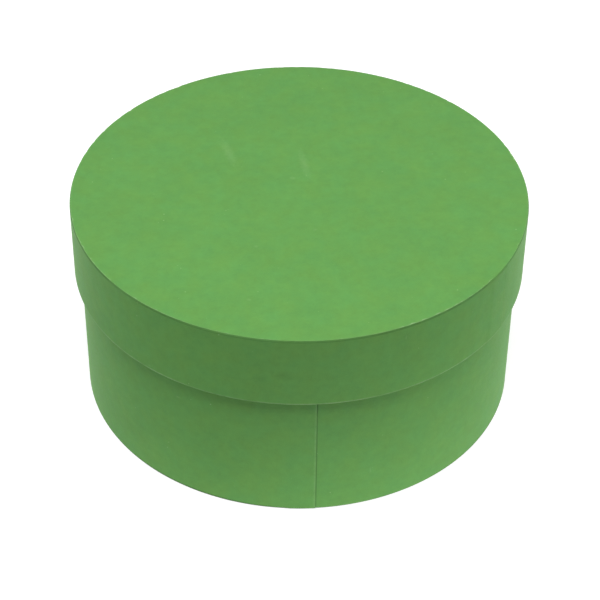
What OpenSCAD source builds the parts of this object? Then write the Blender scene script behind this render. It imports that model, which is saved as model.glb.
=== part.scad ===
// Round flower box: a rigid greyboard box covered in coloured paper, with a deep lid that lifts off.
// The origin is the centre of the underside. +Z points up and -Y is the front.

/* [Box] */
// Outer diameter of the lid, over the paper
lid_d = 200; // [120:1:400]
// Height of the closed box
box_h = 98; // [70:0.5:240]
// Height of the lid's rim, from its lower edge to the top face
rim_h = 34.5; // [24:0.5:60]
// Radial gap between the base's paper and the paper inside the lid
lid_clearance = 0.6; // [0.4:0.1:1.5]

/* [Board and paper] */
// Thickness of the greyboard
board_t = 2; // [1.5:0.25:3]
// Thickness of every paper sheet
paper_t = 0.2; // [0.1:0.05:0.3]
// Length of outer paper that is turned over an edge and glued down
turn_in = 14; // [8:1:16]
// Width of coloured paper left showing between an open edge and the lining
lining_setback = 4; // [2:0.5:7]
// How far the cover sheets are cut back from the edge that they cover
cover_setback = 0.3; // [0.2:0.1:1]
// How far the underside sheet is cut back from the base's outer edge
underside_setback = 4; // [2:0.5:7]

/* [Joins] */
// Length by which the ends of each outer paper overlap
overlap_w = 10; // [5:1:15]
// Angle of the base's paper overlap, from the front towards +X
base_seam_angle = 4.9; // [0:0.1:90]
// Angle of the lid's paper overlap, from the front towards +X
lid_seam_angle = 60.5; // [0:0.1:90]
// Gap where the two ends of a bent board strip meet
board_joint_gap = 0.4; // [0.2:0.1:1]
// Width of the gummed tape over a board joint
tape_w = 25; // [15:1:40]
// Number of notches that let a turned-in edge lie flat on a disc
notch_count = 36; // [12:1:48]
// Width of each notch at its open end
notch_w = 3.6; // [1:0.1:5]

/* [Hidden] */
$fn = 180;

// Radii, from the outside of the lid inwards
lid_r = lid_d / 2;
rim_board_r = lid_r - paper_t;
rim_board_in = rim_board_r - board_t;
rim_lining_in = rim_board_in - paper_t;
base_r = rim_lining_in - lid_clearance;
wall_board_r = base_r - paper_t;
wall_board_in = wall_board_r - board_t;
wall_lining_in = wall_board_in - paper_t;

// Heights of the base, from the underside upwards
flange_z = paper_t;
boards_z = flange_z + paper_t;
floor_z = boards_z + board_t;
ceiling_z = box_h - 3 * paper_t - board_t;
wall_board_top = ceiling_z - paper_t;

// Heights of the lid, from its lower edge upwards
rim_z = box_h - rim_h;
rim_board_z = rim_z + paper_t;
rim_tape_z = rim_board_z + board_t;
lid_board_z = ceiling_z + paper_t;
lid_board_top = lid_board_z + board_t;
cover_z = lid_board_top + paper_t;

// Where the turned-in paper ends on the underside and on the lid's top
base_flange_in = base_r - turn_in;
lid_flange_in = lid_r - turn_in;
// Uncut paper left between a fold and the tips of the notches
notch_root = 1.5;
// How far a cutting shape runs past what it cuts
past = 1;
// Direction of the front, and of the board joints at the back
front = -90;
back = 90;

paper_green = "#5f9a4e";
paper_white = "#e9e6dc";
greyboard = "#a89f92";
kraft = "#b98f5e";

// Basic forms

module ring(r_out, r_in, z_low, z_high) {
    rotate_extrude()
        translate([r_in, z_low])
            square([r_out - r_in, z_high - z_low]);
}

module disc(r, z_low, z_high) {
    translate([0, 0, z_low])
        cylinder(r = r, h = z_high - z_low);
}

// A stretch of a ring that starts at an angle and turns anticlockwise
module band(r_out, r_in, z_low, z_high, start_angle, turn) {
    rotate_extrude(angle = turn, start = start_angle)
        translate([r_in, z_low])
            square([r_out - r_in, z_high - z_low]);
}

// The angle that a length along a circle takes up
function arc_angle(length, r) = length / r * 180 / PI;

// Tape over the board joint at the back. A cutting copy runs on by extra past the outside and the top.
module joint_tape(r, z_low, z_high, extra = 0) {
    turn = arc_angle(tape_w, r);
    band(r + extra, r - paper_t, z_low, z_high + extra, back - turn / 2, turn);
}

// The slot between the two ends of a bent board strip
module board_joint(r_in, z_low, z_high) {
    translate([-board_joint_gap / 2, r_in - past, z_low - past])
        cube([board_joint_gap, board_t + 2 * past, z_high - z_low + 2 * past]);
}

// The outer end of a wrap, lying over the inner end with its cut edge at the seam's angle
module overlap(r, z_low, z_high, seam_angle) {
    turn = arc_angle(overlap_w, r);
    band(r + paper_t, r - paper_t / 2, z_low, z_high, front + seam_angle - turn, turn);
}

// V-shaped notches around a turned-in edge, with their tips near the fold
module notches(r_fold, r_edge, z_low, z_high) {
    for (i = [0 : notch_count - 1])
        rotate(i * 360 / notch_count)
            translate([0, 0, z_low])
                linear_extrude(z_high - z_low)
                    polygon([
                        [r_fold - notch_root, 0],
                        [r_edge - past, notch_w / 2],
                        [r_edge - past, -notch_w / 2]
                    ]);
}

// Base

// Strip of board bent into the wall, with the turned-in paper and the tape pressed into it
module base_wall_board() {
    color(greyboard)
        difference() {
            ring(wall_board_r, wall_board_in, boards_z, wall_board_top);
            ring(wall_board_in + paper_t, wall_board_in - past,
                wall_board_top - turn_in, wall_board_top + past);
            board_joint(wall_board_in, boards_z, wall_board_top);
            joint_tape(wall_board_r, floor_z, wall_board_top, past);
        }
}

module base_wall_tape() {
    color(kraft)
        joint_tape(wall_board_r, floor_z, wall_board_top);
}

// Disc inside the foot of the wall, its rim pressed back where the wrap is glued under it
module base_bottom_board() {
    color(greyboard) {
        disc(wall_board_in, boards_z, floor_z);
        disc(base_flange_in, flange_z, boards_z);
    }
}

// One sheet: up the outside, over the top edge, down the inside, and in under the bottom
module base_outer_wrap() {
    inner_edge_z = wall_board_top - turn_in;
    color(paper_green) {
        difference() {
            rotate_extrude()
                polygon([
                    [base_flange_in, flange_z],
                    [base_r, flange_z],
                    [base_r, ceiling_z],
                    [wall_board_in, ceiling_z],
                    [wall_board_in, inner_edge_z],
                    [wall_board_in + paper_t, inner_edge_z],
                    [wall_board_in + paper_t, wall_board_top],
                    [wall_board_r, wall_board_top],
                    [wall_board_r, boards_z],
                    [base_flange_in, boards_z]
                ]);
            notches(base_r, base_flange_in, flange_z - past, boards_z);
        }
        overlap(base_r, flange_z, ceiling_z, base_seam_angle);
    }
}

module base_inner_lining() {
    color(paper_white)
        ring(wall_board_in, wall_lining_in, floor_z, ceiling_z - lining_setback);
}

module base_floor_paper() {
    color(paper_white)
        disc(wall_lining_in - cover_setback, floor_z, floor_z + paper_t);
}

// Lowest sheet, which the box stands on
module base_underside_paper() {
    color(paper_green)
        disc(base_r - underside_setback, 0, flange_z);
}

// Lid

// Strip of board bent into the rim, with the turned-in paper and the tape pressed into it
module lid_rim_board() {
    color(greyboard)
        difference() {
            ring(rim_board_r, rim_board_in, rim_board_z, lid_board_top);
            ring(rim_board_in + paper_t, rim_board_in - past,
                rim_board_z - past, rim_board_z + turn_in);
            board_joint(rim_board_in, rim_board_z, lid_board_top);
            joint_tape(rim_board_r, rim_tape_z, lid_board_top, past);
        }
}

module lid_rim_tape() {
    color(kraft)
        joint_tape(rim_board_r, rim_tape_z, lid_board_top);
}

// Disc inside the top of the rim, its edge pressed back where the wrap is glued over it
module lid_top_board() {
    color(greyboard) {
        disc(rim_board_in, lid_board_z, lid_board_top);
        disc(lid_flange_in, lid_board_top, cover_z);
    }
}

// One sheet: in over the top, down the outside, under the lower edge, and up the inside
module lid_outer_wrap() {
    inner_edge_z = rim_board_z + turn_in;
    color(paper_green) {
        difference() {
            rotate_extrude()
                polygon([
                    [lid_flange_in, cover_z],
                    [lid_flange_in, lid_board_top],
                    [rim_board_r, lid_board_top],
                    [rim_board_r, rim_board_z],
                    [rim_board_in + paper_t, rim_board_z],
                    [rim_board_in + paper_t, inner_edge_z],
                    [rim_board_in, inner_edge_z],
                    [rim_board_in, rim_z],
                    [lid_r, rim_z],
                    [lid_r, cover_z]
                ]);
            notches(lid_r, lid_flange_in, lid_board_top, cover_z + past);
        }
        overlap(lid_r, rim_z, cover_z, lid_seam_angle);
    }
}

module lid_inner_lining() {
    color(paper_white)
        ring(rim_board_in, rim_lining_in, rim_z + lining_setback, lid_board_z);
}

// Sheet under the lid's top board, which rests on the base's top edge
module lid_ceiling_paper() {
    color(paper_white)
        disc(rim_lining_in - cover_setback, ceiling_z, lid_board_z);
}

module lid_top_cover() {
    color(paper_green)
        disc(lid_r - cover_setback, cover_z, box_h);
}

base_wall_board();
base_wall_tape();
base_bottom_board();
base_outer_wrap();
base_inner_lining();
base_floor_paper();
base_underside_paper();
lid_rim_board();
lid_rim_tape();
lid_top_board();
lid_outer_wrap();
lid_inner_lining();
lid_ceiling_paper();
lid_top_cover();
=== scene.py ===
"""A round flower box in matte green paper, with a lift-off lid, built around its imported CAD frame."""

import math

import bpy
import numpy as np
from mathutils import Matrix, Vector


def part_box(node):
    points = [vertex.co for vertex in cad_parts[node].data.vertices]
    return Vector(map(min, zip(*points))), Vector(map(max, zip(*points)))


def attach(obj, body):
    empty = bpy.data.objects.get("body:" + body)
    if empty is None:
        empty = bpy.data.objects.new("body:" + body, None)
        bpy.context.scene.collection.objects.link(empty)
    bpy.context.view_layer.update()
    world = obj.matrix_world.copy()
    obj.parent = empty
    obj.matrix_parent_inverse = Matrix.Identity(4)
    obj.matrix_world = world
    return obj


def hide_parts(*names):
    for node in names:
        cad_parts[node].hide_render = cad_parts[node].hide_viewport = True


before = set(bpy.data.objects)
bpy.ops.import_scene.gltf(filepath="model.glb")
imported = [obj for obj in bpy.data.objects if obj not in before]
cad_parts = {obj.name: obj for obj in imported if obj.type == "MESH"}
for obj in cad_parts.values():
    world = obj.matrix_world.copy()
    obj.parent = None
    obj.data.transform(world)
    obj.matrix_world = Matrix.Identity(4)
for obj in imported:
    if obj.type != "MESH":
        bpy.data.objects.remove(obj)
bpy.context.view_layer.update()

MM = 0.001
FRONT = -90.0  # direction of the front, in degrees anticlockwise from +X
BACK = 90.0  # direction of the joints in the bent boards

# How the paper was cut, folded and lapped, as in the CAD model
OVERLAP = 10 * MM
TURN_IN = 14 * MM
BASE_SEAM = FRONT + 4.9
LID_SEAM = FRONT + 60.5
TAPE_WIDTH = 25 * MM
NOTCH_STEP = 10.0  # degrees between the notches in a turned-in edge
NOTCH_WIDTH = 3.6 * MM

# How the real sheets depart from the flat drawing
FOLD_RADIUS = 0.5 * MM
FOLD_TONE_REACH = 0.5 * MM  # how far past a fold its drawn tone goes: wear, painted highlight and painted shade
RAMP = 4 * MM  # length over which a sheet climbs onto its own other end
EDGE_LIFT = 0.35  # how far a cut edge stands up, in thicknesses
WALL_WAVE = 0.03 * MM
TOP_WAVE = 0.06 * MM
CUT_WANDER = 0.04 * MM
NICK_DEPTH = 0.2 * MM
DISC_RINGS = 32
TAPE_RIDGE = 0.03 * MM  # how the tape and the joint in the board show through the paper
JOINT_DENT = 0.04 * MM
TURN_IN_RIDGE = 0.1 * MM  # how the end of the turned-in paper shows through the lining


def radius_of(node):
    """The outer radius of a round CAD node."""
    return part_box(node)[1].x


def low(node):
    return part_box(node)[0].z


def high(node):
    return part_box(node)[1].z


PAPER = high("lid_top_cover") - low("lid_top_cover")
HEIGHT = high("lid_top_cover")
LID_R = radius_of("lid_outer_wrap")
BASE_R = radius_of("base_outer_wrap")
WALL_IN = radius_of("base_inner_lining")
RIM_IN = radius_of("lid_inner_lining")


# Shapes


def smooth_step(x):
    """0 below 0, 1 above 1, and a smooth rise between."""
    x = np.clip(x, 0, 1)
    return x * x * (3 - 2 * x)


def bump_at(distance, reach):
    """1 where a distance is 0, falling smoothly to almost nothing at twice the reach."""
    return np.exp(-((distance / reach) ** 2))


def ripple(angles, seed, size, orders=(2, 3, 5, 8, 13)):
    """A smooth closed wave of about that size around the box."""
    draw = np.random.RandomState(seed)
    wave = np.zeros_like(angles, dtype=float)
    for order in orders:
        strength = draw.uniform(0.4, 1) / order
        wave += strength * np.cos(np.radians(angles) * order + draw.uniform(0, 6.28))
    return size * wave


def folded_path(corners, wear_and_shading, spacing, steps=6):
    """Points along a folded sheet's middle, and the tone the paper is drawn with at each.

    The tones have one number for each inner corner: above 0 paler, for wear, and on some folds a painted
    highlight; below 0 darker, for dirt together with painted shade.
    """
    corners = [np.array(c, float) for c in corners]
    knots = [(corners[0], 0.0)]
    for before, corner, after, amount in zip(corners, corners[1:], corners[2:], wear_and_shading):
        back = (before - corner) / np.linalg.norm(before - corner)
        ahead = (after - corner) / np.linalg.norm(after - corner)
        centre = corner + (back + ahead) * FOLD_RADIUS
        knots.append((corner + back * (FOLD_RADIUS + FOLD_TONE_REACH), 0.0))
        for turn in np.linspace(0, math.pi / 2, steps + 1):
            arc = -ahead * math.cos(turn) - back * math.sin(turn)
            knots.append((centre + arc * FOLD_RADIUS, amount * (0.7 + 0.3 * math.sin(2 * turn))))
        knots.append((corner + ahead * (FOLD_RADIUS + FOLD_TONE_REACH), 0.0))
    knots.append((corners[-1], 0.0))
    points, worn_and_shaded = [knots[0][0]], [0.0]
    for (start, start_tone), (end, end_tone) in zip(knots, knots[1:]):
        length = np.linalg.norm(end - start)
        if length < 0.01 * MM:
            continue
        count = max(1, round(length / spacing))
        for i in range(1, count + 1):
            points.append(start + (end - start) * i / count)
            worn_and_shaded.append(start_tone + (end_tone - start_tone) * i / count)
    return np.array(points), np.array(worn_and_shaded)


def normals_of(path, side):
    """Unit normals along a path in the (radius, height) plane.

    They point to the right of travel, or to the left if side is -1.
    """
    along = np.gradient(path, axis=0)
    along /= np.linalg.norm(along, axis=1)[:, None]
    return side * np.stack([along[:, 1], -along[:, 0]], axis=1)


def columns(start, end, fine_at, step=1.5, fine_step=0.12, fine_span=1.2):
    """Angles from start to end, closer together around each angle of fine_at."""
    coarse = np.linspace(start, end, round((end - start) / step) + 1)
    fine = [np.arange(a - fine_span, a + fine_span, fine_step) for a in fine_at]
    angles = np.concatenate([coarse, *fine])
    angles = np.unique(np.round(angles[(angles >= start) & (angles <= end)], 3))
    keep = np.concatenate([[True], np.diff(angles) > fine_step * 0.4])
    keep[-1] = True
    return angles[keep]


def mesh_object(name, vertices, faces, wear_and_shading):
    """A smooth-shaded object. The last argument gives for each vertex how much paler the paper is drawn, for
    wear and painted highlight, and, below 0, how much darker, for dirt and painted shade.
    """
    used = np.unique([number for face in faces for number in face])
    renumbered = dict(zip(used.tolist(), range(len(used))))
    mesh = bpy.data.meshes.new(name)
    mesh.from_pydata(vertices[used].tolist(), [], [[renumbered[number] for number in face] for face in faces])
    layer = mesh.attributes.new("wear_and_shading", "FLOAT", "POINT")
    layer.data.foreach_set("value", np.asarray(wear_and_shading, dtype=np.float32)[used])
    mesh.update()
    mesh.shade_smooth()
    mesh.set_sharp_from_angle(angle=math.radians(50))
    piece = bpy.data.objects.new(name, mesh)
    bpy.context.scene.collection.objects.link(piece)
    return piece


def strip_faces(rows, count, flip):
    """Quads that join consecutive rows of vertex numbers, for sheets of count columns."""
    faces = []
    for a, b in zip(rows, rows[1:]):
        for k in range(count - 1):
            quad = (a[k], a[k + 1], b[k + 1], b[k])
            faces.append(quad[::-1] if flip else quad)
    return faces


def shell_faces(kept, flip):
    """Faces of a sheet with two sides, made of a grid of cells, of which only some are kept.

    The vertices are numbered row by row, first on the one side and then on the other.
    """
    rows, count = kept.shape[0] + 1, kept.shape[1] + 1
    number = np.arange(rows * count).reshape(rows, count)
    other_side = rows * count
    around = np.pad(kept, 1)
    faces = []
    for i, j in np.argwhere(kept):
        cell = [int(v) for v in (number[i, j], number[i, j + 1], number[i + 1, j + 1], number[i + 1, j])]
        beside = (around[i, j + 1], around[i + 1, j + 2], around[i + 2, j + 1], around[i + 1, j])
        faces.append(cell)
        faces.append([v + other_side for v in reversed(cell)])
        for k in range(4):
            if not beside[k]:
                a, b = cell[k], cell[(k + 1) % 4]
                faces.append([b, a, a + other_side, b + other_side])
    return [face[::-1] for face in faces] if flip else faces


def open_notches(angles, path, tip):
    """Spreads the columns of a sheet apart at each notch, from its tip to the sheet's first edge.

    Returns the angle of every point, which rows the notches cross, and which gaps between columns they open.
    """
    edge = path[0, 0]
    flange = (path[:, 1] == path[0, 1]) & (path[:, 0] <= tip)
    share = np.where(flange, (tip - path[:, 0]) / (tip - edge), 0)
    half_width = np.degrees(NOTCH_WIDTH / 2 * share / path[:, 0])[:, None]
    offset = (angles + NOTCH_STEP / 2) % NOTCH_STEP - NOTCH_STEP / 2
    spread = np.sign(offset) * (1 - np.abs(offset) * 2 / NOTCH_STEP)
    gap = (offset[:-1] < 0) & (offset[1:] > 0) & (np.diff(angles) < 1)
    return angles + half_width * spread, flange, gap


def board_behind(angles, radius):
    """How the taped joint in the board shows through a wrapped sheet."""
    across = np.abs((angles - BACK + 180) % 360 - 180) * math.radians(1) * radius
    tape = 1 - smooth_step((across - TAPE_WIDTH / 2) / MM)
    return TAPE_RIDGE * tape - JOINT_DENT * bump_at(across, MM)


def wrapped_sheet(name, corners, side, seam, wear_and_shading=(), spacing=4 * MM, seed=0, seam_dirt_and_shade=None, swell=None):
    """One strip of paper wrapped round the box, folded along corners, with its ends lapped.

    Only its outward wall is lapped, because the end underneath is trimmed away where the sheet is
    turned in. A folded sheet has notches in its first edge. The last two arguments take the path's
    points, and give how dark the line beside the seam is painted, glue and dirt with painted shadow of the
    lapped edge, and how far the sheet is pushed out.
    """
    path, wear_and_painted_light = folded_path(corners, wear_and_shading, spacing)
    normal = normals_of(path, side)
    radius = path[:, 0].max()
    lap = math.degrees(OVERLAP / radius)
    ramp = math.degrees(RAMP / radius)
    tape = math.degrees(TAPE_WIDTH / 2 / radius)
    start = seam - lap
    end = seam + 360
    spots = [a + 360 * k for a in (BACK, BACK - tape, BACK + tape) for k in (0, 1)]
    angles = columns(start, end, [seam, start, end, end - lap, *spots])
    folded = len(corners) > 2
    if folded:
        notch_at = np.arange(math.ceil(start / NOTCH_STEP), end / NOTCH_STEP) * NOTCH_STEP
        beside = np.array([notch_at - 0.05, notch_at + 0.05]).ravel()
        clear = np.abs(angles[:, None] - notch_at).min(axis=1) > 0.1
        angles = np.sort(np.concatenate([angles[clear], beside]))
    from_end = np.radians(end - angles) * radius
    on_top = smooth_step((angles - (end - lap - ramp)) / ramp)
    curl = EDGE_LIFT * bump_at(from_end, 0.8 * MM)
    widest = normal[path[:, 0].argmax(), 0]
    outside = np.maximum(normal[:, 0] * np.sign(widest), 0) ** 2
    lift = (on_top + curl)[None, :] * outside[:, None] * PAPER
    if swell is not None:
        lift = lift + swell(path)[:, None]
    drift = ripple(angles, seed, WALL_WAVE) + board_behind(angles, radius)
    drift = drift[None, :] + ripple(path[:, 1] * 1500, seed + 1, WALL_WAVE * 0.3)[:, None]
    drift = (drift - drift.max()) * np.abs(normal[:, :1])
    kept = np.ones((len(path) - 1, len(angles) - 1), bool)
    turned = np.tile(angles, (len(path), 1))
    if folded:
        turned_in = outside < 0.001
        under_lap = angles < seam - 0.001
        kept[np.ix_(turned_in[:-1] & turned_in[1:], under_lap[:-1])] = False
        turned, flange, gap = open_notches(angles, path, corners[1][0] - FOLD_RADIUS - FOLD_TONE_REACH)
        kept[np.ix_(flange[:-1] & flange[1:], gap)] = False
    turn = np.radians(turned)
    sides = []
    for half in (PAPER / 2, -PAPER / 2):
        r = path[:, :1] + normal[:, :1] * (lift + half) + drift
        z = path[:, 1:] + normal[:, 1:] * (lift + half)
        sides.append(np.stack([r * np.cos(turn), r * np.sin(turn), z], axis=-1))
    vertices = np.concatenate([points.reshape(-1, 3) for points in sides])
    past_seam = np.radians(angles - seam) * radius
    # A dark line just past the seam's cut edge: glue and dirt, together with painted shadow of the lapped
    # edge.
    crease = bump_at(past_seam - 0.25 * MM, 0.22 * MM) * (angles < end - lap - ramp)
    dirt_and_shade = np.ones(len(path)) if seam_dirt_and_shade is None else seam_dirt_and_shade(path)
    # The lapped cut edge is drawn paler: wear, together with a painted highlight on the raised edge.
    edge = bump_at(from_end - 0.3 * MM, 0.5 * MM) * 0.3
    # Fold tones keep their sign, so the lid's top fold stays dark: dirt with painted shade.
    worn_and_shaded = np.maximum(wear_and_painted_light[:, None], edge[None, :] * outside[:, None])
    worn_and_shaded = np.where(wear_and_painted_light[:, None] < 0, wear_and_painted_light[:, None], worn_and_shaded)
    worn_and_shaded = worn_and_shaded - crease[None, :] * dirt_and_shade[:, None] * outside[:, None]
    return mesh_object(name, vertices, shell_faces(kept, flip=side < 0), np.tile(worn_and_shaded.ravel(), 2))


def paper_disc(name, radius, bottom, seed, wave=TOP_WAVE, spokes=360, nicks=0, step_at=None):
    """A flat disc of paper, cut by hand, that sinks into the small hollows of the board behind it.

    Inside step_at, if given, it sinks a little more, because no turned-in paper lies under it there.
    """
    draw = np.random.RandomState(seed)
    angles = np.linspace(0, 360, spokes, endpoint=False)
    turn = np.radians(angles)
    edge = ripple(angles, seed, CUT_WANDER, orders=(3, 7, 19, 31, 47, 61, 83))
    worn_edge = np.full(spokes, 0.5)
    for place in draw.uniform(0, 360, nicks):
        away = np.abs((angles - place + 180) % 360 - 180) * math.radians(1) * radius
        nick = draw.uniform(0.3, 1) * bump_at(away, draw.uniform(0.5, 1.2) * MM)
        edge -= NICK_DEPTH * nick
        worn_edge += 1.6 * nick
    edge = radius + edge - edge.max()
    inner = np.linspace(0, radius - 2 * MM, DISC_RINGS + 1)[1:]
    outer = radius - np.array([1.2, 0.6, 0.3, 0.12, 0]) * MM
    share = np.concatenate([inner, outer])[:, None] / radius
    r = share * edge
    x, y = r * np.cos(turn), r * np.sin(turn)
    sag = np.zeros_like(x)
    waves = 7
    for _ in range(waves):
        heading, length, phase = draw.uniform(0, 6.28), draw.uniform(0.03, 0.12), draw.uniform(0, 6.28)
        sag += np.cos((x * math.cos(heading) + y * math.sin(heading)) * 6.28 / length + phase)
    dip = wave * (sag / waves - 1) * 0.5 * (1 - share**8)
    if step_at is not None:
        dip = dip - TOP_WAVE * 0.5 * (1 - smooth_step((r - step_at) / (3 * MM)))
    sides = [np.stack([x, y, z + dip], axis=-1) for z in (bottom + PAPER, bottom)]
    middle = [[0, 0, side[0, :, 2].mean()] for side in sides]
    vertices = np.concatenate([sides[0].reshape(-1, 3), sides[1].reshape(-1, 3), middle])
    count = x.size
    top = np.arange(count).reshape(x.shape)
    top = np.concatenate([top, top[:, :1]], axis=1)
    under = top + count
    faces = strip_faces(top, spokes + 1, flip=True) + strip_faces(under, spokes + 1, flip=False)
    faces += strip_faces([top[-1], under[-1]], spokes + 1, flip=True)
    for k in range(spokes):
        faces.append((2 * count, top[0, k], top[0, k + 1]))
        faces.append((2 * count + 1, under[0, k + 1], under[0, k]))
    near_edge = bump_at(edge - r, 0.3 * MM) * worn_edge
    wear_and_shading = np.concatenate([near_edge.ravel(), near_edge.ravel(), [0, 0]])
    return mesh_object(name, vertices, faces, wear_and_shading)


# Materials


class Nodes:
    """Short calls for building one material's node tree."""

    def __init__(self, name):
        self.material = bpy.data.materials.new(name)
        self.material.use_nodes = True
        self.tree = self.material.node_tree
        self.shader = self.tree.nodes["Principled BSDF"]
        self.place = self.add("ShaderNodeTexCoord").outputs["Object"]

    def add(self, kind, **settings):
        node = self.tree.nodes.new(kind)
        for key, value in settings.items():
            setattr(node, key, value)
        return node

    def feed(self, socket, value):
        if isinstance(value, bpy.types.NodeSocket):
            self.tree.links.new(value, socket)
        else:
            socket.default_value = value

    def noise(self, scale, detail=2.0, roughness=0.5, place=None):
        node = self.add("ShaderNodeTexNoise")
        self.feed(node.inputs["Vector"], place or self.place)
        node.inputs["Scale"].default_value = scale
        node.inputs["Detail"].default_value = detail
        node.inputs["Roughness"].default_value = roughness
        return node.outputs["Fac"]

    def placed(self, centre, turn, sizes):
        """The place measured from a centre, turned about Z, in units of three sizes."""
        node = self.add("ShaderNodeMapping", vector_type="TEXTURE")
        self.feed(node.inputs["Vector"], self.place)
        node.inputs["Location"].default_value = centre
        node.inputs["Rotation"].default_value = (0, 0, math.radians(turn))
        node.inputs["Scale"].default_value = sizes
        return node.outputs["Vector"]

    def length(self, vector):
        node = self.add("ShaderNodeVectorMath", operation="LENGTH")
        self.feed(node.inputs[0], vector)
        return node.outputs["Value"]

    def range(self, value, low_in, high_in, low_out, high_out):
        node = self.add("ShaderNodeMapRange")
        self.feed(node.inputs["Value"], value)
        for socket, number in zip(list(node.inputs)[1:5], (low_in, high_in, low_out, high_out)):
            socket.default_value = number
        return node.outputs["Result"]

    def maths(self, operation, a, b=0.0, clamp=False):
        node = self.add("ShaderNodeMath", operation=operation, use_clamp=clamp)
        self.feed(node.inputs[0], a)
        self.feed(node.inputs[1], b)
        return node.outputs["Value"]

    def mix(self, share, a, b):
        node = self.add("ShaderNodeMix", data_type="RGBA")
        self.feed(node.inputs["Factor"], share)
        self.feed(node.inputs["A"], a)
        self.feed(node.inputs["B"], b)
        return node.outputs["Result"]

    def scale(self, colour, factor):
        node = self.add("ShaderNodeVectorMath", operation="SCALE")
        self.feed(node.inputs[0], colour)
        self.feed(node.inputs["Scale"], factor)
        return node.outputs["Vector"]

    def attribute(self, name):
        return self.add("ShaderNodeAttribute", attribute_name=name).outputs["Fac"]

    def bump(self, height, distance, strength=1.0, normal=None):
        node = self.add("ShaderNodeBump")
        self.feed(node.inputs["Height"], height)
        node.inputs["Distance"].default_value = distance
        node.inputs["Strength"].default_value = strength
        if normal is not None:
            self.feed(node.inputs["Normal"], normal)
        return node.outputs["Normal"]


def linear(red, green, blue):
    """A colour given as it looks on screen, 0 to 255, as the renderer's numbers."""
    parts = [c / 255 for c in (red, green, blue)]
    return (*[c / 12.92 if c <= 0.04045 else ((c + 0.055) / 1.055) ** 2.4 for c in parts], 1.0)


def shade(colour, *factors):
    """A colour made lighter or darker by one factor, or by one for each part."""
    factors = factors if len(factors) == 3 else factors * 3
    return (*[min(1.0, part * factor) for part, factor in zip(colour, factors)], 1.0)


def marks(n, places, fray):
    """How strongly any of a list of small marks shows.

    Each has a centre, a turn about Z and three half sizes.
    """
    shown = 0.0
    for centre, turn, sizes in places:
        away = n.maths("ADD", n.length(n.placed(centre, turn, sizes)), fray)
        shown = n.maths("MAXIMUM", shown, n.range(away, 0.1, 1.1, 1, 0))
    return shown


def paper(name, colour, wear_and_painted_light, specks=0.5, cloudiness=1.0, pale_marks=(), dark_marks=()):
    """Matte cover paper: a cloudy dye, short fibres and a few specks, rubbed pale on folds and cut edges,
    with a painted highlight on some, and darkened by dirt with painted shade in seams and folds.
    """
    clouding = 0.04 * cloudiness
    mottling = 0.06 * cloudiness
    warmth = 0.07 * cloudiness
    n = Nodes(name)
    clouds = n.range(n.noise(38, detail=4, roughness=0.6), 0.3, 0.7, 1 - clouding, 1 + clouding)
    mottle = n.range(n.noise(260, detail=3, roughness=0.6), 0.3, 0.7, 1 - mottling, 1 + mottling)
    drift = n.range(n.noise(90, detail=4, roughness=0.6), 0.35, 0.65, 0, 1)
    grain = n.noise(1100, detail=3, roughness=0.65)
    lying = n.placed((0, 0, 0), 35, (1 / 500, 1 / 2600, 1 / 2600))
    upright = n.placed((0, 0, 0), 0, (1 / 2600, 1 / 2600, 1 / 500))
    along = n.noise(1.0, detail=3, roughness=0.6, place=lying)
    across = n.noise(1.0, detail=3, roughness=0.6, place=upright)
    fibres = n.maths("MAXIMUM", along, across)
    base = n.mix(drift, shade(colour, 1 - warmth, 1, 1 + warmth), shade(colour, 1 + warmth, 1, 1 - warmth))
    base = n.scale(base, n.maths("MULTIPLY", clouds, mottle))
    base = n.mix(n.range(grain, 0.35, 0.65, 0, 0.5), base, shade(colour, 1.09))
    base = n.mix(n.range(fibres, 0.55, 0.8, 0, 0.5), base, shade(colour, 0.86))
    flecks = n.add("ShaderNodeTexVoronoi", feature="F1")
    n.feed(flecks.inputs["Vector"], n.place)
    flecks.inputs["Scale"].default_value = 420
    rare = n.range(n.noise(230, detail=1), 0.66, 0.72, 0, specks)
    dots = n.range(flecks.outputs["Distance"], 0.05, 0.16, 1, 0)
    base = n.mix(n.maths("MULTIPLY", rare, dots), base, wear_and_painted_light)
    wear_and_shading = n.attribute("wear_and_shading")
    stretches = n.range(n.noise(24, detail=1), 0.4, 0.6, 0.35, 1)
    blotches = n.range(n.noise(260, detail=5, roughness=0.75), 0.35, 0.65, 0.3, 1)
    patchy = n.maths("MULTIPLY", stretches, blotches)
    # Above 0 the tone attribute draws the paper paler: wear, and on the lid's lower fold and the lapped seam
    # edges also a painted highlight.
    wear_and_highlight = n.maths("MULTIPLY", n.maths("MULTIPLY", wear_and_shading, 0.6, clamp=True), patchy)
    base = n.mix(wear_and_highlight, base, wear_and_painted_light)
    # Below 0 it draws the paper darker: dirt, together with painted shade in the lid's top fold and painted
    # shadow beside the lapped seams.
    dirt_and_shade = n.maths("MULTIPLY", n.maths("MULTIPLY", wear_and_shading, -0.85, clamp=True), n.range(patchy, 0.2, 0.8, 0.6, 1))
    base = n.mix(dirt_and_shade, base, shade(colour, 0.22))
    fray = n.range(n.noise(900, detail=3), 0.3, 0.7, -0.3, 0.3)
    base = n.mix(n.maths("MULTIPLY", marks(n, pale_marks, fray), 0.11), base, wear_and_painted_light)
    base = n.mix(n.maths("MULTIPLY", marks(n, dark_marks, fray), 0.13), base, shade(colour, 0.35))
    n.feed(n.shader.inputs["Base Color"], base)
    n.feed(n.shader.inputs["Roughness"], n.range(grain, 0.3, 0.7, 0.5, 0.66))
    n.shader.inputs["Specular IOR Level"].default_value = 0.15
    tooth = n.bump(grain, 0.00005, 0.6)
    n.feed(n.shader.inputs["Normal"], n.bump(n.noise(140, detail=2), 0.0002, 0.3, normal=tooth))
    return n.material


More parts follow.
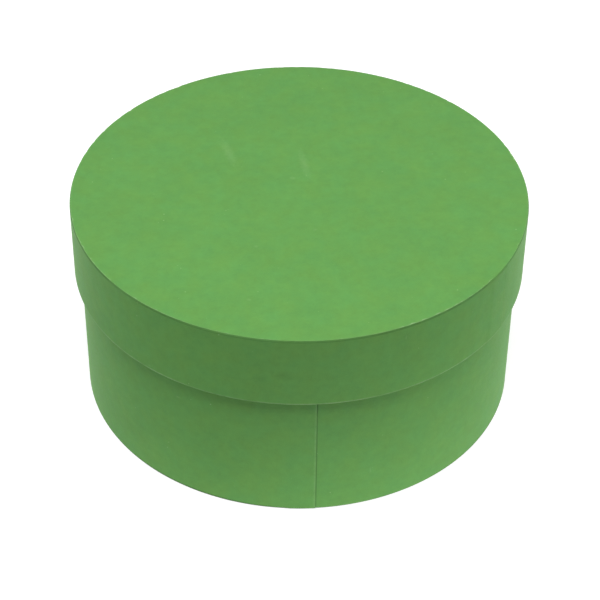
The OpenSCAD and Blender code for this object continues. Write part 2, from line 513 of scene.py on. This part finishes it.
def board(name, colour):
    """Greyboard: pressed waste paper, grey-brown and full of darker and paler fibres."""
    n = Nodes(name)
    pulp = n.noise(500, detail=5, roughness=0.7)
    upright = n.placed((0, 0, 0), 0, (1 / 2200, 1 / 2200, 1 / 400))
    strands = n.noise(1.0, detail=4, roughness=0.7, place=upright)
    base = n.mix(n.range(pulp, 0.3, 0.7, 0, 1), shade(colour, 0.82), shade(colour, 1.15))
    base = n.mix(n.range(strands, 0.52, 0.7, 0, 0.6), base, shade(colour, 0.6))
    n.feed(n.shader.inputs["Base Color"], base)
    n.feed(n.shader.inputs["Roughness"], n.range(pulp, 0.3, 0.7, 0.8, 0.95))
    n.feed(n.shader.inputs["Normal"], n.bump(pulp, 0.0001, 0.6))
    return n.material


def on_top(x, y, half_length, half_width, turn=0.0):
    """A mark on the lid's top, in millimetres and degrees."""
    return (x * MM, y * MM, HEIGHT), turn, (half_length * MM, half_width * MM, MM)


def on_wall(radius, angle, z, half_across, half_tall):
    """A mark on a wall, at an angle from the front towards the right, in millimetres and degrees."""
    turn = math.radians(FRONT + angle)
    centre = (radius * math.cos(turn), radius * math.sin(turn), z * MM)
    return centre, angle, (half_across * MM, MM, half_tall * MM)


GREEN = linear(96, 153, 75)
# The paler green of worn paper, also used for painted highlight along the lid's lower fold and the lapped
# seam edges.
GREEN_WORN_AND_LIT = linear(166, 204, 146)

# A few faint scuffs and smudges from handling
LID_PALE = [
    on_top(-32, 29, 12, 2.6, 108), on_top(2, 21, 12, 2.2, 100), on_top(-3, 10, 1.6, 1.3),
    on_top(-18, -39, 1.0, 1.0), on_top(7, -27, 1.0, 1.0), on_top(-20, -74, 1.1, 0.9),
    on_wall(LID_R, -44, 67.5, 0.9, 0.6), on_wall(LID_R, -38, 65.5, 1.0, 0.6),
    on_wall(LID_R, 26, 92, 0.4, 1.8),
]
LID_DARK = [
    on_wall(LID_R, -3, 79.5, 5, 2.8), on_wall(LID_R, -9, 77, 3.5, 2.0), on_wall(LID_R, 60.8, 75, 0.8, 0.9),
]
BASE_PALE = [on_wall(BASE_R, 19, 19, 0.5, 2.4), on_wall(BASE_R, -31, 52, 1.4, 0.6)]
BASE_DARK = [on_wall(BASE_R, 8.3, 56.5, 1.6, 1.0), on_wall(BASE_R, 4.5, 9.8, 0.5, 0.7)]

LID_GREEN = paper("lid_green_paper", GREEN, GREEN_WORN_AND_LIT, pale_marks=LID_PALE, dark_marks=LID_DARK)
BASE_GREEN = paper("base_green_paper", GREEN, GREEN_WORN_AND_LIT, pale_marks=BASE_PALE, dark_marks=BASE_DARK)
WHITE = paper("white_paper", linear(240, 237, 229), linear(250, 249, 245), specks=0.0, cloudiness=0.25)
KRAFT = paper("kraft_tape", linear(184, 142, 95), linear(214, 182, 140), specks=0.2, cloudiness=0.6)
GREYBOARD = board("greyboard", linear(164, 156, 143))


def finish_piece(piece, body, material, slot_name, *nodes):
    """Gives a new piece its material and body, and hides the CAD nodes it stands for. Its slot name is not
    used.
    """
    piece.data.materials.append(material)
    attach(piece, body)
    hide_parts(*nodes)


def repaint(node, material):
    """A CAD node that stays as it is gets a better material."""
    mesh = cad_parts[node].data
    mesh.materials.clear()
    mesh.materials.append(material)


# Pieces of the base


def build_base():
    half = PAPER / 2
    seed = 11
    bottom = low("base_outer_wrap") + half
    top = high("base_outer_wrap") - half
    flange = BASE_R - TURN_IN
    wall = BASE_R - half
    inside = WALL_IN + half
    turned_in_end = top - TURN_IN

    wrap = wrapped_sheet(
        "base_wrap_paper",
        [(flange, bottom), (wall, bottom), (wall, top), (inside, top), (inside, turned_in_end)],
        wear_and_shading=(0.3, 0.7, 0.4), side=1, seam=BASE_SEAM, seed=seed,
        # The dark line beside the seam: glue and dirt with painted shadow of the lapped edge, drawn stronger
        # above 50 mm as painted shade under the lid's edge.
        seam_dirt_and_shade=lambda path: 0.6 + 0.4 * smooth_step((path[:, 1] - 50 * MM) / (10 * MM)),
    )
    finish_piece(wrap, "base", BASE_GREEN, "green_paper", "base_outer_wrap")

    lining = wrapped_sheet(
        "base_lining_paper",
        [(WALL_IN - half, high("base_floor_paper") - half), (WALL_IN - half, high("base_inner_lining"))],
        side=-1, seam=BASE_SEAM + 200, seed=seed, spacing=1.5 * MM,
        swell=lambda path: TURN_IN_RIDGE * smooth_step((path[:, 1] - turned_in_end) / (2 * MM) + 0.5),
    )
    finish_piece(lining, "base", WHITE, "white_paper", "base_inner_lining")

    floor_paper = paper_disc(
        "base_floor_sheet", radius_of("base_floor_paper"), low("base_floor_paper"), seed=31
    )
    finish_piece(floor_paper, "base", WHITE, "white_paper", "base_floor_paper")

    underside = paper_disc(
        "base_underside_sheet", radius_of("base_underside_paper"), low("base_underside_paper"),
        seed=37, wave=-TOP_WAVE,
    )
    finish_piece(underside, "base", BASE_GREEN, "green_paper", "base_underside_paper")

    repaint("base_wall_board", GREYBOARD)
    repaint("base_bottom_board", GREYBOARD)
    repaint("base_wall_tape", KRAFT)


# Pieces of the lid


def build_lid():
    half = PAPER / 2
    seed = 41
    bottom = low("lid_outer_wrap") + half
    top = high("lid_outer_wrap") - half
    flange = LID_R - TURN_IN
    wall = LID_R - half
    inside = RIM_IN + half
    turned_in_end = bottom + TURN_IN

    wrap = wrapped_sheet(
        "lid_wrap_paper",
        [(flange, top), (wall, top), (wall, bottom), (inside, bottom), (inside, turned_in_end)],
        # Top fold drawn dark: dirt together with painted shade in the step under the cover disc's edge. Lower
        # fold drawn pale: wear together with a painted highlight.
        wear_and_shading=(-0.7, 1.0, 0.4), side=-1, seam=LID_SEAM, seed=seed,
        # The dark line beside the seam: glue and dirt with painted shadow of the lapped edge, drawn stronger
        # below about 72 mm.
        seam_dirt_and_shade=lambda path: 0.1 + 0.6 * (1 - smooth_step((path[:, 1] - 72 * MM) / (5 * MM))),
    )
    finish_piece(wrap, "lid", LID_GREEN, "green_paper", "lid_outer_wrap")

    lining = wrapped_sheet(
        "lid_lining_paper",
        [(RIM_IN - half, low("lid_inner_lining")), (RIM_IN - half, high("lid_inner_lining") - half)],
        side=-1, seam=LID_SEAM + 200, seed=seed, spacing=1.5 * MM,
        swell=lambda path: TURN_IN_RIDGE * smooth_step((turned_in_end - path[:, 1]) / (2 * MM) + 0.5),
    )
    finish_piece(lining, "lid", WHITE, "white_paper", "lid_inner_lining")

    cover = paper_disc(
        "lid_cover_sheet", radius_of("lid_top_cover"), low("lid_top_cover"),
        seed=53, spokes=720, nicks=70, step_at=flange,
    )
    finish_piece(cover, "lid", LID_GREEN, "green_paper", "lid_top_cover")

    ceiling = paper_disc(
        "lid_ceiling_sheet", radius_of("lid_ceiling_paper"), low("lid_ceiling_paper"), seed=59, wave=-TOP_WAVE
    )
    finish_piece(ceiling, "lid", WHITE, "white_paper", "lid_ceiling_paper")

    repaint("lid_rim_board", GREYBOARD)
    repaint("lid_top_board", GREYBOARD)
    repaint("lid_rim_tape", KRAFT)


# Camera, floor and light


def build_camera():
    """A long lens, about 40 degrees above the table, with a slight roll."""
    elevation = math.radians(39.7)
    distance = 0.89
    roll = math.radians(0.65)
    target = Vector((0.0008, 0, 0.0365))
    back = Vector((0, -math.cos(elevation), math.sin(elevation)))
    right = Vector((1, 0, 0))
    up = back.cross(right)
    data = bpy.data.cameras.new("camera")
    data.lens = 116.9
    data.sensor_width = 36
    camera = bpy.data.objects.new("camera", data)
    bpy.context.scene.collection.objects.link(camera)
    turned = Matrix.Rotation(roll, 3, back) @ Matrix((right, up, back)).transposed()
    camera.matrix_world = Matrix.Translation(target + back * distance) @ turned.to_4x4()
    bpy.context.scene.camera = camera


def white_surface(name, brightness):
    """A matte grey surface made white by an even glow, as the background of a product photo is."""
    n = Nodes(name)
    n.shader.inputs["Base Color"].default_value = (0.5, 0.5, 0.5, 1)
    n.shader.inputs["Roughness"].default_value = 0.9
    n.shader.inputs["Emission Color"].default_value = (1, 1, 1, 1)
    n.shader.inputs["Emission Strength"].default_value = brightness
    return n.material


def set_stage(name, material):
    """Makes the newest object part of the studio, and returns it."""
    thing = bpy.context.object
    thing.name = name
    thing.data.materials.append(material)
    return thing


def area_light(name, place, towards, size, power):
    """A white light panel at a place, facing another place."""
    data = bpy.data.lights.new(name, "AREA")
    data.size = size
    data.energy = power
    lamp = bpy.data.objects.new(name, data)
    bpy.context.scene.collection.objects.link(lamp)
    lamp.location = place
    lamp.rotation_euler = (Vector(place) - Vector(towards)).to_track_quat("Z", "Y").to_euler()
    return lamp


def fade_out(light, centre, reach):
    """Makes a light panel strongest at its centre, fading away at about twice the reach."""
    light.use_nodes = True
    tree = light.node_tree
    place = tree.nodes.new("ShaderNodeNewGeometry").outputs["Position"]
    offset = tree.nodes.new("ShaderNodeVectorMath")
    offset.operation = "DISTANCE"
    tree.links.new(place, offset.inputs[0])
    offset.inputs[1].default_value = centre
    steps = (("DIVIDE", 1, reach), ("POWER", 1, 2.0), ("MULTIPLY", 1, -1.0), ("POWER", 0, math.e))
    value = offset.outputs["Value"]
    for operation, socket, number in steps:
        node = tree.nodes.new("ShaderNodeMath")
        node.operation = operation
        node.inputs[socket].default_value = number
        tree.links.new(value, node.inputs[1 - socket])
        value = node.outputs["Value"]
    tree.links.new(value, tree.nodes["Emission"].inputs["Strength"])


def build_stage():
    """A white table and backdrop, soft panels on every side, and a dim surround.

    The table and backdrop are seen, and show in reflections, but their diffuse light is left out, or
    the shadow under the lid would fill up. A soft pool of light in front of the box stands in for
    what the table would reflect.
    """
    bpy.ops.mesh.primitive_plane_add(size=6)
    set_stage("floor", white_surface("table_white", 0.7)).visible_diffuse = False
    bpy.ops.mesh.primitive_uv_sphere_add(radius=3, segments=96, ring_count=48)
    set_stage("backdrop", white_surface("backdrop_white", 0.95)).visible_diffuse = False

    middle = (0, 0, HEIGHT / 2)
    area_light("key_panel", (-0.02, -0.34, 0.93), middle, 0.4, 6.6)
    area_light("left_panel", (-0.9, 0, 0.3), middle, 0.6, 2.9)
    area_light("right_panel", (0.9, 0, 0.3), middle, 0.6, 3.5)
    area_light("back_left_panel", (-0.65, 0.65, 0.3), middle, 0.6, 2.4)
    area_light("back_right_panel", (0.65, 0.65, 0.3), middle, 0.6, 2.4)

    centre = (0.04, -0.115, 0.5 * MM)
    pool = area_light("table_glow", centre, (centre[0], centre[1], 1), 0.7, 2.2)
    pool.visible_camera = False
    pool.visible_glossy = False
    fade_out(pool.data, centre, 0.13)

    world = bpy.data.worlds.new("surround")
    world.use_nodes = True
    world.node_tree.nodes["Background"].inputs["Color"].default_value = (1, 1, 1, 1)
    world.node_tree.nodes["Background"].inputs["Strength"].default_value = 0.1
    bpy.context.scene.world = world
    bpy.context.scene.view_settings.view_transform = "Standard"


build_base()
build_lid()
build_camera()
build_stage()
